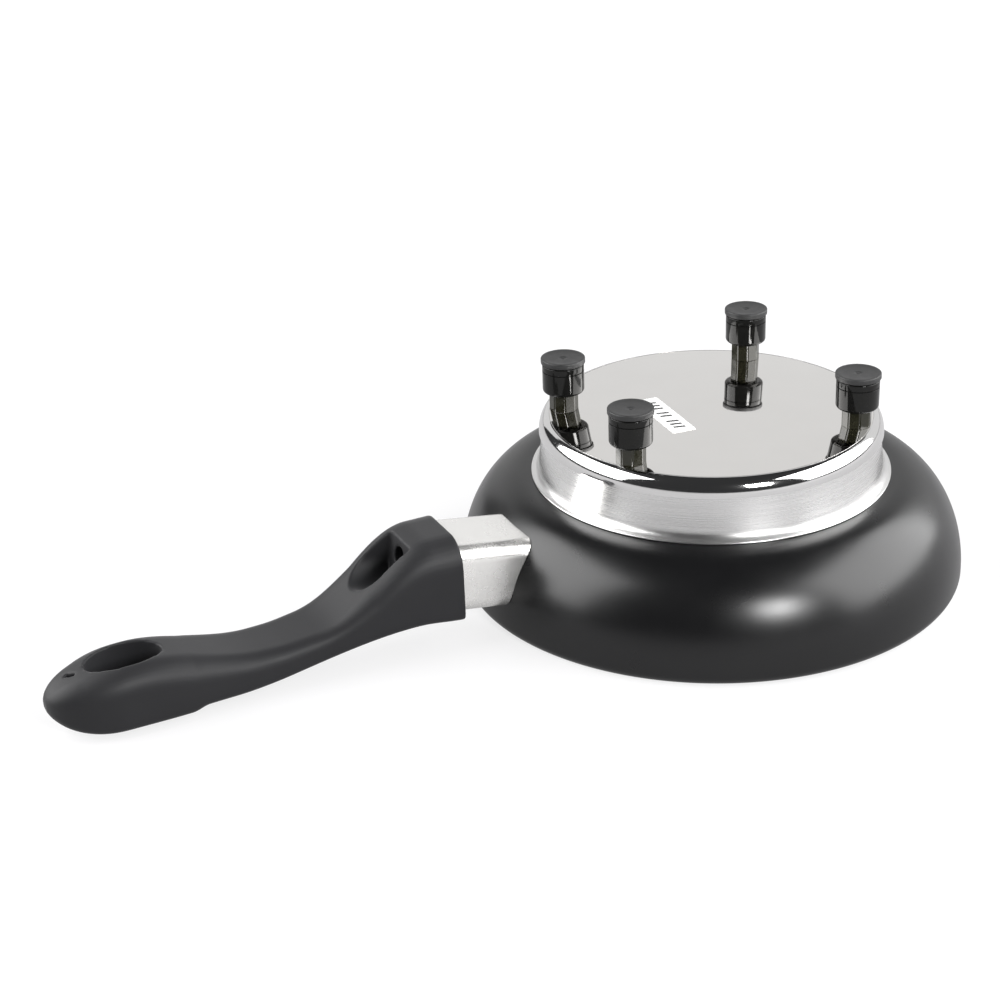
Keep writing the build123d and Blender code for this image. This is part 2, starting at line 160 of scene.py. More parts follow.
GRIP_SLICES = 160
VOXEL = 0.5
SMOOTH_ROUNDS = 6

# fineness of the round pieces and the angle from which an edge is left sharp
RING_STEPS = 256
FOOT_STEPS = 96
SHARP_ANGLE = math.radians(35.0)


# mesh helpers
def fade(value, low, high):
    t = min(max((value - low) / (high - low), 0.0), 1.0)
    return t * t * (3.0 - 2.0 * t)


def arc(cx, cy, radius, start, end, steps=8):
    points = []
    for i in range(steps + 1):
        a = math.radians(start + (end - start) * i / steps)
        points.append((cx + radius * math.cos(a), cy + radius * math.sin(a)))
    return points


def rounded_box(width, height, corner, steps=8):
    points = []
    for qx, qy, start in ((1, 1, 0), (-1, 1, 90), (-1, -1, 180), (1, -1, 270)):
        points += arc(qx * (width / 2 - corner), qy * (height / 2 - corner), corner, start, start + 90, steps)
    return points


def finished(name, bm, material, nodes=()):
    # turns a mesh in millimetres into a piece on the part, shaded smooth up to the sharp angle
    bmesh.ops.scale(bm, vec=(MM, MM, MM), verts=bm.verts)
    bmesh.ops.remove_doubles(bm, verts=bm.verts, dist=1e-7)
    bmesh.ops.recalc_face_normals(bm, faces=bm.faces)
    for face in bm.faces:
        face.smooth = True
    for edge in bm.edges:
        if len(edge.link_faces) == 2:
            edge.smooth = edge.calc_face_angle(0.0) < SHARP_ANGLE
    mesh = bpy.data.meshes.new(name)
    bm.to_mesh(mesh)
    bm.free()
    piece = bpy.data.objects.new(name, mesh)
    bpy.context.scene.collection.objects.link(piece)
    mesh.materials.append(material)
    if nodes:
        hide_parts(*nodes)
    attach(piece, "root")


def lathe_into(bm, profile, steps, centre=(0.0, 0.0)):
    # revolves a profile of radius and height, closed on the axis where the radius is nought
    rings = []
    for r, z in profile:
        if r < 1e-6:
            rings.append([bm.verts.new((centre[0], centre[1], z))])
            continue
        ring = []
        for i in range(steps):
            a = 2 * math.pi * i / steps
            ring.append(bm.verts.new((centre[0] + r * math.cos(a), centre[1] + r * math.sin(a), z)))
        rings.append(ring)
    for low, high in zip(rings, rings[1:]):
        for i in range(steps):
            j = (i + 1) % steps
            corners = [low[i % len(low)], low[j % len(low)], high[j % len(high)], high[i % len(high)]]
            corners = [v for n, v in enumerate(corners) if v not in corners[:n]]
            if len(corners) > 2:
                bm.faces.new(corners)


def loft_into(bm, loops):
    # joins loops of equal length into a closed body
    rings = [[bm.verts.new(p) for p in loop] for loop in loops]
    for low, high in zip(rings, rings[1:]):
        count = len(low)
        for i in range(count):
            j = (i + 1) % count
            bm.faces.new((low[i], low[j], high[j], high[i]))
    bm.faces.new(list(reversed(rings[0])))
    bm.faces.new(rings[-1])


def bowl_curve(side, base):
    # the bowl's side from its widest circle to the flat base, taken in by a side and a base thickness
    points = []
    steps = 40
    for i in range(steps + 1):
        t = math.pi / 2 * i / steps
        points.append((FLAT_R + (CURVE_W - side) * math.cos(t), CURVE_Z + (CURVE_H - base) * math.sin(t)))
    return points


def bowl_radius(z, grow):
    # outer radius of the bowl at a height, with a clearance
    up = min(max((z - CURVE_Z) / (CURVE_H + grow), 0.0), 1.0)
    return FLAT_R + (CURVE_W + grow) * math.sqrt(1.0 - up * up)


# material helpers
def new_material(name):
    material = bpy.data.materials.new(name)
    material.use_nodes = True
    tree = material.node_tree
    shader = tree.nodes["Principled BSDF"]
    return material, tree, shader


def add_node(tree, kind, values=None, **settings):
    node = tree.nodes.new(kind)
    for key, value in settings.items():
        setattr(node, key, value)
    for key, value in (values or {}).items():
        if isinstance(value, bpy.types.NodeSocket):
            tree.links.new(value, node.inputs[key])
        else:
            node.inputs[key].default_value = value
    return node


def place(tree, scale=(1.0, 1.0, 1.0)):
    # position on the part in metres, scaled
    coord = add_node(tree, "ShaderNodeTexCoord")
    mapping = add_node(tree, "ShaderNodeMapping", {"Vector": coord.outputs["Object"]})
    mapping.inputs["Scale"].default_value = scale
    return mapping.outputs["Vector"]


def noise(tree, vector, scale, detail=3.0, rough=0.5):
    made = add_node(tree, "ShaderNodeTexNoise", {"Vector": vector, "Scale": scale, "Detail": detail,
                                                 "Roughness": rough})
    return made.outputs["Fac"]


def spread(tree, value, low, high, new_low, new_high):
    made = add_node(tree, "ShaderNodeMapRange", {"Value": value, "From Min": low, "From Max": high,
                                                 "To Min": new_low, "To Max": new_high})
    return made.outputs["Result"]


def tint(tree, factor, dark, light):
    made = add_node(tree, "ShaderNodeMix", data_type="RGBA")
    tree.links.new(factor, made.inputs["Factor"])
    made.inputs["A"].default_value = (*dark, 1.0)
    made.inputs["B"].default_value = (*light, 1.0)
    return made.outputs["Result"]


def bump(tree, height, strength, distance, onto=None):
    made = add_node(tree, "ShaderNodeBump", {"Height": height, "Strength": strength, "Distance": distance})
    if onto is not None:
        tree.links.new(onto, made.inputs["Normal"])
    return made.outputs["Normal"]


def set_values(shader, **values):
    for key, value in values.items():
        shader.inputs[key.replace("_", " ")].default_value = value


def maths(tree, operation, first, second=None):
    made = tree.nodes.new("ShaderNodeMath")
    made.operation = operation
    for socket, value in zip(made.inputs, (first, second)):
        if isinstance(value, bpy.types.NodeSocket):
            tree.links.new(value, socket)
        elif value is not None:
            socket.default_value = value
    return made.outputs[0]


def turned_place(tree, around, across):
    # coordinates for marks that run round the pan axis: long around, fine across
    coord = add_node(tree, "ShaderNodeTexCoord")
    parts = add_node(tree, "ShaderNodeSeparateXYZ", {"Vector": coord.outputs["Object"]})
    x, y, z = parts.outputs
    angle = maths(tree, "ARCTAN2", y, x)
    squares = maths(tree, "ADD", maths(tree, "MULTIPLY", x, x), maths(tree, "MULTIPLY", y, y))
    radius = maths(tree, "SQRT", squares)
    joined = add_node(tree, "ShaderNodeCombineXYZ")
    tree.links.new(maths(tree, "MULTIPLY", angle, around), joined.inputs[0])
    tree.links.new(maths(tree, "MULTIPLY", radius, across), joined.inputs[1])
    tree.links.new(maths(tree, "MULTIPLY", z, across), joined.inputs[2])
    return joined.outputs[0]


# materials
def coated_black():
    material, tree, shader = new_material("satin_black_coating")
    here = place(tree)
    fine = noise(tree, here, 3400.0, 3.0)
    broad = noise(tree, here, 45.0, 4.0)
    coat = tint(tree, broad, (0.0026, 0.0026, 0.0030), (0.0038, 0.0038, 0.0043))
    tree.links.new(coat, shader.inputs["Base Color"])
    tree.links.new(spread(tree, broad, 0.3, 0.7, 0.27, 0.31), shader.inputs["Roughness"])
    tree.links.new(bump(tree, fine, 0.18, 0.00006), shader.inputs["Normal"])
    set_values(shader, Specular_IOR_Level=0.5)
    return material


def spun_aluminium():
    # brushed round on the wall, polished on the rolled nose, duller on the lip
    material, tree, shader = new_material("spun_aluminium")
    lines = noise(tree, turned_place(tree, 1.6, 5200.0), 1.0, 3.0, 0.6)
    wide = noise(tree, turned_place(tree, 0.8, 420.0), 1.0, 3.0, 0.6)
    coord = add_node(tree, "ShaderNodeTexCoord")
    height = add_node(tree, "ShaderNodeSeparateXYZ", {"Vector": coord.outputs["Object"]}).outputs[2]
    nose_part = spread(tree, height, (CREASE_Z - 0.2) * MM, (CREASE_Z + 0.2) * MM, 0.0, 1.0)
    lip_part = spread(tree, height, (PAN_H + 4.4) * MM, (PAN_H + 3.4) * MM, 0.0, 1.0)
    brushed = spread(tree, lines, 0.3, 0.7, 0.22, 0.34)
    kept = maths(tree, "SUBTRACT", 1.0, nose_part)
    worn = maths(tree, "MULTIPLY", 0.06, lip_part)
    rough = maths(tree, "ADD", maths(tree, "ADD", maths(tree, "MULTIPLY", brushed, kept), worn),
                  maths(tree, "MULTIPLY", 0.08, nose_part))
    tree.links.new(tint(tree, wide, (0.72, 0.715, 0.71), (0.80, 0.795, 0.79)), shader.inputs["Base Color"])
    tree.links.new(rough, shader.inputs["Roughness"])
    tree.links.new(bump(tree, maths(tree, "MULTIPLY", lines, kept), 0.08, 0.00003), shader.inputs["Normal"])
    tree.links.new(maths(tree, "MULTIPLY", kept, 0.6), shader.inputs["Anisotropic"])
    tangent = add_node(tree, "ShaderNodeTangent", direction_type="RADIAL", axis="Z")
    tree.links.new(tangent.outputs[0], shader.inputs["Tangent"])
    set_values(shader, Metallic=1.0, Anisotropic_Rotation=0.25)
    return material


def mirror_steel():
    material, tree, shader = new_material("mirror_steel")
    here = place(tree)
    haze = noise(tree, here, 60.0, 4.0)
    hair = noise(tree, place(tree, (900.0, 9000.0, 900.0)), 1.0, 2.0)
    tree.links.new(tint(tree, haze, (0.80, 0.785, 0.765), (0.84, 0.825, 0.805)), shader.inputs["Base Color"])
    tree.links.new(spread(tree, haze, 0.3, 0.7, 0.03, 0.06), shader.inputs["Roughness"])
    wave = noise(tree, here, 22.0, 1.0)
    rough_normal = bump(tree, wave, 0.5, 0.0003)
    tree.links.new(bump(tree, hair, 0.04, 0.00001, rough_normal), shader.inputs["Normal"])
    set_values(shader, Metallic=1.0)
    return material


def gloss_moulding():
    material, tree, shader = new_material("gloss_black_moulding")
    here = place(tree)
    flow = noise(tree, here, 240.0, 3.0)
    colour = tint(tree, flow, (0.006, 0.006, 0.006), (0.010, 0.010, 0.009))
    tree.links.new(colour, shader.inputs["Base Color"])
    tree.links.new(spread(tree, flow, 0.3, 0.7, 0.06, 0.12), shader.inputs["Roughness"])
    tree.links.new(bump(tree, flow, 0.10, 0.0001), shader.inputs["Normal"])
    set_values(shader, Specular_IOR_Level=0.26)
    return material


def stem_moulding():
    material, tree, shader = new_material("stem_moulding")
    here = place(tree)
    flow = noise(tree, here, 300.0, 3.0)
    colour = tint(tree, flow, (0.010, 0.010, 0.006), (0.022, 0.021, 0.012))
    tree.links.new(colour, shader.inputs["Base Color"])
    tree.links.new(spread(tree, flow, 0.3, 0.7, 0.10, 0.18), shader.inputs["Roughness"])
    tree.links.new(bump(tree, flow, 0.12, 0.0001), shader.inputs["Normal"])
    return material


def matt_moulding():
    material, tree, shader = new_material("matt_black_moulding")
    here = place(tree)
    grain = noise(tree, here, 3800.0, 2.0)
    broad = noise(tree, here, 260.0, 3.0)
    colour = tint(tree, broad, (0.019, 0.019, 0.0195), (0.029, 0.029, 0.0295))
    tree.links.new(colour, shader.inputs["Base Color"])
    tree.links.new(spread(tree, broad, 0.3, 0.7, 0.42, 0.55), shader.inputs["Roughness"])
    tree.links.new(bump(tree, grain, 0.35, 0.00008), shader.inputs["Normal"])
    return material


def bright_sheet():
    # plated sheet with a soft mottle and a few fine specks
    material, tree, shader = new_material("bright_sheet")
    here = place(tree)
    soft = noise(tree, here, 150.0, 5.0, 0.6)
    fine = noise(tree, here, 1400.0, 3.0, 0.6)
    specks = spread(tree, noise(tree, here, 420.0, 2.0, 0.5), 0.22, 0.30, 0.4, 1.0)
    mottle = maths(tree, "MULTIPLY", soft, specks)
    tree.links.new(tint(tree, mottle, (0.86, 0.85, 0.83), (0.98, 0.97, 0.95)), shader.inputs["Base Color"])
    tree.links.new(spread(tree, soft, 0.3, 0.7, 0.20, 0.30), shader.inputs["Roughness"])
    tree.links.new(bump(tree, fine, 0.03, 0.00003), shader.inputs["Normal"])
    set_values(shader, Metallic=0.82)
    return material


def soft_grip():
    material, tree, shader = new_material("soft_charcoal_grip")
    here = place(tree)
    grain = noise(tree, here, 4200.0, 2.0)
    broad = noise(tree, here, 70.0, 4.0)
    colour = tint(tree, broad, (0.0115, 0.0115, 0.0130), (0.0155, 0.0155, 0.0172))
    tree.links.new(colour, shader.inputs["Base Color"])
    tree.links.new(spread(tree, broad, 0.3, 0.7, 0.50, 0.56), shader.inputs["Roughness"])
    tree.links.new(bump(tree, grain, 0.28, 0.00006), shader.inputs["Normal"])
    set_values(shader, Specular_IOR_Level=0.3, Sheen_Weight=0.10, Sheen_Roughness=0.45)
    return material


def sticker_film():
    material, tree, shader = new_material("white_film")
    here = place(tree)
    fibre = noise(tree, here, 900.0, 3.0)
    tree.links.new(tint(tree, fibre, (0.80, 0.80, 0.79), (0.86, 0.86, 0.85)), shader.inputs["Base Color"])
    tree.links.new(bump(tree, fibre, 0.15, 0.00005), shader.inputs["Normal"])
    set_values(shader, Roughness=0.42)
    return material


def plated_steel(name, dark, light):
    material, tree, shader = new_material(name)
    here = place(tree)
    cloud = noise(tree, here, 380.0, 4.0)
    tree.links.new(tint(tree, cloud, dark, light), shader.inputs["Base Color"])
    tree.links.new(spread(tree, cloud, 0.3, 0.7, 0.24, 0.4), shader.inputs["Roughness"])
    tree.links.new(bump(tree, cloud, 0.15, 0.0001), shader.inputs["Normal"])
    set_values(shader, Metallic=1.0)
    return material


def dull_solid(name, dark, light, rough, scale):
    material, tree, shader = new_material(name)
    here = place(tree)
    cloud = noise(tree, here, scale, 4.0)
    tree.links.new(tint(tree, cloud, dark, light), shader.inputs["Base Color"])
    tree.links.new(bump(tree, cloud, 0.4, 0.0002), shader.inputs["Normal"])
    set_values(shader, Roughness=rough)
    return material


MATERIALS = {
    "pan_coating": coated_black(),
    "spun_aluminium": spun_aluminium(),
    "polished_steel": mirror_steel(),
    "white_sticker": sticker_film(),
    "gloss_black": gloss_moulding(),
    "matt_black": matt_moulding(),
    "bright_sheet": bright_sheet(),
    "grip_plastic": soft_grip(),
    "screw_steel": plated_steel("zinc_screws", (0.52, 0.52, 0.50), (0.66, 0.66, 0.65)),
    "clamp_steel": plated_steel("zinc_pressing", (0.48, 0.48, 0.47), (0.62, 0.62, 0.61)),
    "post_aluminium": plated_steel("turned_aluminium", (0.66, 0.66, 0.66), (0.78, 0.78, 0.78)),
    "heater_foil": plated_steel("heater_foil", (0.40, 0.40, 0.42), (0.55, 0.55, 0.56)),
    "pin_metal": plated_steel("nickel_pin", (0.70, 0.66, 0.52), (0.82, 0.78, 0.64)),
    "mica": dull_solid("mica_sheet", (0.50, 0.45, 0.34), (0.68, 0.62, 0.50), 0.35, 500.0),
    "fibre_pad": dull_solid("fibre_pad", (0.70, 0.68, 0.63), (0.84, 0.82, 0.78), 0.9, 900.0),
    "cutout_can": dull_solid("cutout_case", (0.09, 0.06, 0.04), (0.15, 0.11, 0.08), 0.4, 700.0),
    "inlet_plastic": dull_solid("inlet_moulding", (0.016, 0.016, 0.016), (0.026, 0.026, 0.026), 0.45, 3000.0),
    "lead_sleeve": dull_solid("glass_sleeving", (0.66, 0.65, 0.60), (0.82, 0.81, 0.77), 0.7, 2500.0),
}
STEM = stem_moulding()
INK = dull_solid("label_ink", (0.020, 0.020, 0.022), (0.032, 0.032, 0.034), 0.5, 1500.0)

# every solid takes its slot's material, and the visible ones are replaced below
node_slots = {entry["node"]: entry["material_slot"] for entry in frame["record"]["subparts"]}
for node_name, node_object in frame["nodes"].items():
    node_object.data.materials.clear()
    node_object.data.materials.append(MATERIALS[node_slots[node_name]])


# pan body
def make_pan():
    bm = bmesh.new()
    outer = bowl_curve(0.0, 0.0)
    inner = bowl_curve(WALL, BASE_T)
    profile = [(0.0, PAN_H - BASE_T), (30.0, PAN_H - BASE_T)] + list(reversed(inner))
    profile += arc(SEAT_R, CURL_R, CURL_R - WALL, 360, 270, 8)
    profile += [(SEAT_R - SEAT_W + 0.3, WALL), (SEAT_R - SEAT_W, WALL - 0.3), (SEAT_R - SEAT_W, 0.3),
                (SEAT_R - SEAT_W + 0.3, 0.0)]
    profile += arc(SEAT_R, CURL_R, CURL_R, 270, 360, 12)
    profile += outer + [(30.0, PAN_H), (0.0, PAN_H)]
    lathe_into(bm, profile, RING_STEPS)
    finished("pan_shell", bm, MATERIALS["pan_coating"], ("pan_body",))


# base ring
def make_ring():
    bm = bmesh.new()
    edge = SKIN / 2
    flare_r = LIP_R - 0.2
    profile = [(LIP_INNER_R, LIP_Z)] + arc(LIP_R - edge, LIP_Z + edge, edge, 270, 430, 8)
    # lip flaring out of the wall in a quarter turn
    for i in range(1, 10):
        a = math.radians(10 * i)
        profile.append((flare_r - (flare_r - WALL_LOW_R) * math.sin(a),
                        LIP_Z + SKIN + (LIP_H - SKIN) * (1 - math.cos(a))))
    # slightly hollow wall
    wall_steps = 12
    for i in range(1, wall_steps + 1):
        part = i / wall_steps
        hollow = WALL_HOLLOW * math.sin(math.pi * part)
        profile.append((WALL_LOW_R + (CREASE_R - WALL_LOW_R) * part - hollow,
                        WALL_LOW_Z + (CREASE_Z - WALL_LOW_Z) * part))
    # nose rolled out past the crease and over to the plate
    for i in range(0, 46):
        a = math.radians(2 * i)
        profile.append((PLATE_R + NOSE_WIDE * math.cos(a), NOSE_Z + NOSE_TALL * math.sin(a)))
    # step that holds the plate, and the inside of the skin
    profile += [(PLATE_R + PLATE_GAP, RING_TOP - 0.15), (PLATE_R + PLATE_GAP, LEDGE_TOP),
                (LEDGE_R, LEDGE_TOP), (LEDGE_R, LEDGE_LOW), (PLATE_R + 1.2, LEDGE_LOW - 0.1)]
    profile += [(CREASE_R - SKIN, NOSE_Z), (WALL_LOW_R - SKIN, WALL_LOW_Z), (LIP_INNER_R, LIP_Z)]
    lathe_into(bm, profile, RING_STEPS)
    finished("ring_skin", bm, MATERIALS["spun_aluminium"], ("base_ring",))


# bottom plate
def make_plate():
    bm = bmesh.new()
    plate_low = RING_TOP - PLATE_T
    edge_z = RING_TOP - PLATE_EDGE
    profile = [(0.0, plate_low), (PLATE_R, plate_low), (PLATE_R, edge_z)]
    profile += arc(PLATE_R - PLATE_EDGE, edge_z, PLATE_EDGE, 0, 90, 4) + [(0.0, RING_TOP)]
    lathe_into(bm, profile, RING_STEPS)
    finished("plate_disc", bm, MATERIALS["polished_steel"], ("bottom_plate",))


# sticker with rounded corners, and plain slanted bars on it
def sticker_point(x, y, lift):
    # a point of the sticker by its place along and across it, and its height over the plate
    spot = Matrix.Rotation(math.radians(STICKER_TURN), 3, "Z") @ Vector((x, y, 0.0)) + Vector(STICKER_SPOT)
    return (spot.x, spot.y, RING_TOP + lift)


def make_sticker():
    bm = bmesh.new()
    outline = rounded_box(STICKER_LONG, STICKER_WIDE, STICKER_CORNER, 4)
    loft_into(bm, [[sticker_point(x, y, lift) for x, y in outline] for lift in (0.0, STICKER_T)])
    finished("sticker_film", bm, MATERIALS["white_sticker"], ("sticker",))


def make_sticker_bars():
    bm = bmesh.new()
    for first, count in BAR_GROUPS:
        for i in range(count):
            u = first + BAR_STEP * i
            corners = ((u, -BAR_HALF), (u + BAR_W, -BAR_HALF),
                       (u + BAR_W + BAR_LEAN, BAR_HALF), (u + BAR_LEAN, BAR_HALF))
            loft_into(bm, [[sticker_point(x, y, lift) for x, y in corners] for lift in (0.1, 0.2)])
    finished("sticker_bars", bm, INK)


# feet
def foot_spot(number):
    a = math.radians(FOOT_ANGLES[number])
    return (FOOT_CIRCLE * math.cos(a), FOOT_CIRCLE * math.sin(a))


def make_barrel(number):
    # a bored barrel with a narrow groove near its top
    bm = bmesh.new()
    groove_r = FOOT_R - GROOVE_DEEP
    lip_r = FOOT_R - 0.08
    profile = [(STEM_HOLE_R, STEM_TOP), (FOOT_R - 1.6, STEM_TOP)]
    profile += arc(FOOT_R - BARREL_ROUND, STEM_TOP + BARREL_ROUND, BARREL_ROUND, 270, 360, 8)
    profile += [(FOOT_R, GROOVE_LOW), (lip_r, GROOVE_LOW + 0.06), (groove_r, GROOVE_LOW + 0.1),
                (groove_r, GROOVE_TOP - 0.11), (lip_r, GROOVE_TOP - 0.06), (FOOT_R, GROOVE_TOP)]
    profile += [(FOOT_R, FOOT_TOP - 0.4)] + arc(FOOT_R - 0.4, FOOT_TOP - 0.4, 0.4, 0, 90, 4)
    profile += [(BARREL_BORE_R, FOOT_TOP), (BARREL_BORE_R, FOOT_TOP - BARREL_DEEP),
                (STEM_HOLE_R, FOOT_TOP - BARREL_DEEP), (STEM_HOLE_R, STEM_TOP)]
    lathe_into(bm, profile, FOOT_STEPS, foot_spot(number))
    finished("foot_barrel_%d" % number, bm, MATERIALS["gloss_black"],
             ("foot_body_%d" % number,))


def make_stem(number):
    # an eight-sided stem between the plate and the barrel
    x, y = foot_spot(number)
    bm = bmesh.new()
    corner_r = STEM_FLATS / 2 / math.cos(math.radians(22.5))
    loops = []
    for z, inset in ((RING_TOP, 0.15), (RING_TOP + 0.15, 0.0), (STEM_TOP, 0.0), (STEM_TOP + 0.2, 0.0)):
        loop = []
        for i in range(8):
            a = math.radians(22.5 + 45 * i)
            loop.append((x + (corner_r - inset) * math.cos(a), y + (corner_r - inset) * math.sin(a), z))
        loops.append(loop)
    loft_into(bm, loops)
    upright = [e for e in bm.edges if abs(e.verts[0].co.z - e.verts[1].co.z) > 1.0]
    bmesh.ops.bevel(bm, geom=upright, offset=0.5, segments=3, affect="EDGES")
    finished("foot_stem_%d" % number, bm, STEM)


def make_cap(number):
    # a dished cap with a small dimple in its middle
    bm = bmesh.new()
    profile = [(0.0, CAP_LOW), (CAP_R - 0.3, CAP_LOW)] + arc(CAP_R - 0.3, CAP_LOW + 0.3, 0.3, 270, 360, 4)
    profile += arc(CAP_R - CAP_ROUND, CAP_TOP - CAP_ROUND, CAP_ROUND, 0, 90, 6)
    profile += [(7.9, CAP_TOP), (7.4, CAP_TOP - 0.12), (5.0, CAP_TOP - 0.3), (2.2, CAP_TOP - 0.42),
                (1.5, CAP_TOP - 0.44), (1.2, CAP_TOP - 0.62), (0.8, CAP_TOP - 0.7), (0.5, CAP_TOP - 0.55),
                (0.0, CAP_TOP - 0.5)]
    lathe_into(bm, profile, FOOT_STEPS, foot_spot(number))
    finished("foot_disc_%d" % number, bm, MATERIALS["matt_black"],
             ("foot_cap_%d" % number,))


# sleeve, a rounded tube cut to the bowl
def handle_point(distance, across, up):
    # a point given by its distance along the handle line, its side offset and its height over the line
    line_z = SLEEVE_MID_Z + (distance - MID_AT) * math.tan(TILT)
    return (-distance + up * math.sin(TILT), across, line_z + up * math.cos(TILT))


def meets_bowl(across, up, grow):
    # distance along the handle line at which a line of the sleeve meets the bowl
    near, far = 80.0, 115.0
    for _ in range(40):
        middle = (near + far) / 2
        x, y, z = handle_point(middle, across, up)
        if math.hypot(x, y) < bowl_radius(z, grow):
            near = middle
        else:
            far = middle
    return far


def make_sleeve():
    bm = bmesh.new()
    outside = rounded_box(SLEEVE_W, SLEEVE_H, SLEEVE_CORNER)
    inside = rounded_box(SLEEVE_W - 2 * SLEEVE_T, SLEEVE_H - 2 * SLEEVE_T, SLEEVE_CORNER - SLEEVE_T)
    starts = [meets_bowl(y, u, SLEEVE_GAP) for y, u in outside]
    inner_starts = [meets_bowl(y, u, SLEEVE_GAP) for y, u in inside]
    loops = [[handle_point(SLEEVE_END, y, u) for y, u in inside]]
    loops.append([handle_point(s, y, u) for s, (y, u) in zip(inner_starts, inside)])
    loops.append([handle_point(s, y, u) for s, (y, u) in zip(starts, outside)])
    for part in (0.1, 0.3, 0.5, 0.7, 0.9, 1.0):
        loops.append([handle_point(s + (SLEEVE_END - s) * part, y, u) for s, (y, u) in zip(starts, outside)])
    rings = [[bm.verts.new(p) for p in loop] for loop in loops]
    rings.append(rings[0])
    for low, high in zip(rings, rings[1:]):
        for i in range(len(low)):
            j = (i + 1) % len(low)
            bm.faces.new((low[i], low[j], high[j], high[i]))
    finished("sleeve_shell", bm, MATERIALS["bright_sheet"], ("flame_sleeve",))


# grip
def nose(s, start):
    # 0 up to the start of the rounded tip, growing to 1 at the tip
    t = max((s - start) / (GRIP_TIP - start), 0.0)
    return 1.0 - math.sqrt(1.0 - t * t)


def grip_top(s):
    ramp = RAMP_DROP * fade(s, 132, 182) + NECK_DROP * fade(s, 176, 196)
    return CREST_Z - ramp + PADDLE_RISE * fade(s, 202, 250) - TIP_DROP * nose(s, 250)


def grip_low(s):
    drop = UNDER_DROP * fade(s, 138, 215) + STEP_DROP * fade(s, 226, 233)
    return FRONT_LOW + FRONT_RISE * fade(s, 119, 140) - drop + TIP_RISE * nose(s, 260)


def grip_width(s):
    wide = FRONT_W - WAIST_LOSS * fade(s, 125, 192) + PADDLE_GAIN * fade(s, 200, 245)
    return wide * (1 - nose(s, 256))


def grip_section(s):
    # a vertical section, with larger corners above than below
    tall = grip_top(s) - grip_low(s)
    wide = grip_width(s)
    high = min(TOP_CORNER - TOP_CORNER_LOSS * fade(s, 128, 152), 0.44 * tall, 0.44 * wide)
    low = min(LOW_CORNER, 0.3 * tall, 0.3 * wide)
    points = []
    for qx, qz, corner, start in ((1, 1, high, 0), (-1, 1, high, 90), (-1, 0, low, 180), (1, 0, low, 270)):
        z = grip_top(s) - corner if qz else grip_low(s) + corner
        points += arc(qx * (wide / 2 - corner), z, corner, start, start + 90)
    return [(-s, y, z) for y, z in points]


def plain_body(name, loops):
    # a body through loops in millimetres, without a material
    bm = bmesh.new()
    loft_into(bm, loops)
    bmesh.ops.recalc_face_normals(bm, faces=bm.faces)
    bmesh.ops.scale(bm, vec=(MM, MM, MM), verts=bm.verts)
    mesh = bpy.data.meshes.new(name)
    bm.to_mesh(mesh)
    bm.free()
    made = bpy.data.objects.new(name, mesh)
    bpy.context.scene.collection.objects.link(made)
    return made


def along_handle(name, outline, lift, starts_at, ends_at):
    # a straight body along the handle line with the given outline
    loops = [[handle_point(s, y, lift + u) for y, u in outline] for s in (starts_at, ends_at)]
    return plain_body(name, loops)


def grip_cutters():
    # socket round the sleeve
    hole = rounded_box(SLEEVE_W + 0.3, SLEEVE_H + 0.3, SLEEVE_CORNER)
    cuts = [along_handle("cut_socket", hole, 0.0, 110.0, SOCKET_FLOOR)]
    # trough for the screw, round below and open above
    trough = arc(0, -POCKET_FLOOR + POCKET_W / 2, POCKET_W / 2, 180, 360, 24)
    trough += [(POCKET_W / 2, 30.0), (-POCKET_W / 2, 30.0)]
    cuts.append(along_handle("cut_trough", trough, SCREW_LIFT, POCKET_FACE, 200.0))
    # screw bore and its wider seat
    bore = arc(0, 0, SCREW_BORE_R, 0, 345, 23)
    seat = arc(0, 0, SCREW_SEAT_R, 0, 345, 23)
    cuts.append(along_handle("cut_bore", bore, SCREW_LIFT, 115.0, 131.0))
    cuts.append(along_handle("cut_seat", seat, SCREW_LIFT, SCREW_SEAT, POCKET_FACE + 1.0))
    # hanging hole
    eye = []
    for degrees in range(0, 360, 6):
        a = math.radians(degrees)
        eye.append((HANG_LONG / 2 * math.cos(a), HANG_WIDE / 2 * math.sin(a)))
    cuts.append(plain_body("cut_eye", [[(-HANG_AT + x, y, z) for x, y in eye] for z in (-5.0, 45.0)]))
    # small curved slot near the tip
    slot = arc(0, 0, SLOT_OUTER_R, 110, 170, 6) + arc(0, 0, SLOT_INNER_R, 170, 110, 6)
    slot = [(-SLOT_AT + SLOT_STRETCH * x, SLOT_SHIFT - y) for x, y in slot]
    cuts.append(plain_body("cut_slot", [[(x, y, z) for x, y in slot] for z in (SLOT_LOW, 40.0)]))
    return cuts


def make_grip():
    stops = [GRIP_START + (GRIP_END - GRIP_START) * i / GRIP_SLICES for i in range(GRIP_SLICES + 1)]
    blank = plain_body("grip_blank", [grip_section(s) for s in stops])
    cuts = grip_cutters()
    for cut in cuts:
        step = blank.modifiers.new(cut.name, "BOOLEAN")
        step.operation = "DIFFERENCE"
        step.solver = "EXACT"
        step.object = cut
    # an even mesh, then softened edges
    remesh = blank.modifiers.new("remesh", "REMESH")
    remesh.mode = "VOXEL"
    remesh.voxel_size = VOXEL * MM
    smooth = blank.modifiers.new("smooth", "SMOOTH")
    smooth.factor = 0.5
    smooth.iterations = SMOOTH_ROUNDS
    graph = bpy.context.evaluated_depsgraph_get()
    done = bpy.data.meshes.new_from_object(blank.evaluated_get(graph))
    for extra in [blank] + cuts:
        bpy.data.objects.remove(extra)
    done.shade_smooth()
    done.materials.clear()
    done.materials.append(MATERIALS["grip_plastic"])
    piece = bpy.data.objects.new("grip_moulding", done)
    bpy.context.scene.collection.objects.link(piece)
    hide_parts("handle_grip")
    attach(piece, "root")


